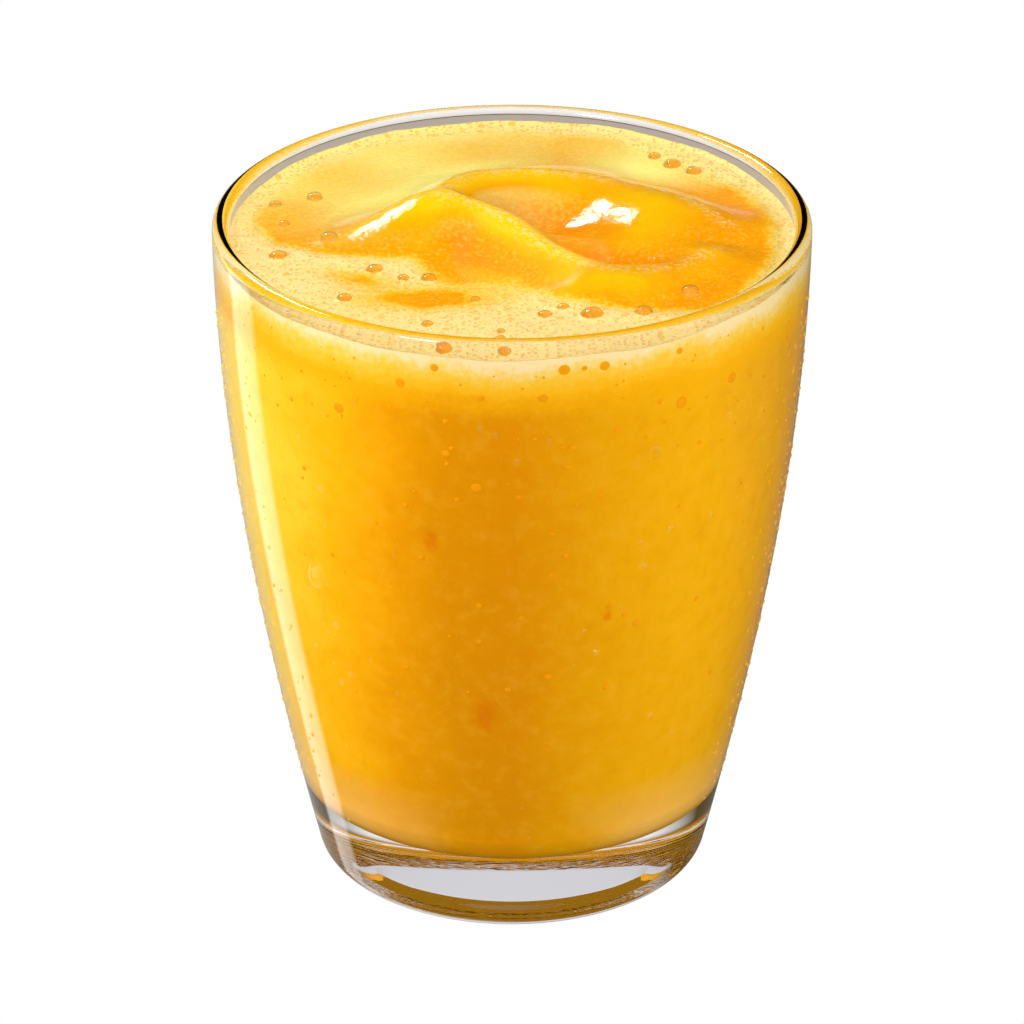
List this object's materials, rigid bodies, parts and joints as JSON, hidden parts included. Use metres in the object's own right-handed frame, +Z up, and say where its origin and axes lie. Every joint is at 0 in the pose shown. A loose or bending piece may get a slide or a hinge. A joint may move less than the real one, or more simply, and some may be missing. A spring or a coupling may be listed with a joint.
{
  "type": "mango coconut milk drink in a glass tumbler",
  "caption": "Thick-floored clear tumbler filled almost to the rim with mango and coconut milk drink, a smooth swirl on top inside a ring of pale froth.",
  "frame": {"origin": "centre of the flat bearing ring under the glass, on the surface it rests on", "axes": "+Z up along the axis of the glass, -Y is the front, +X is to the right seen from the front"},
  "size_m": [0.084, 0.084, 0.1018],
  "materials": {
    "clear_glass": "polished",
    "mango_drink": "wet gloss",
    "mango_froth": "satin foam"
  },
  "bodies": {
    "root": {"glass": "clear_glass", "drink": "mango_drink", "froth": "mango_froth"}
  },
  "joints": []
}
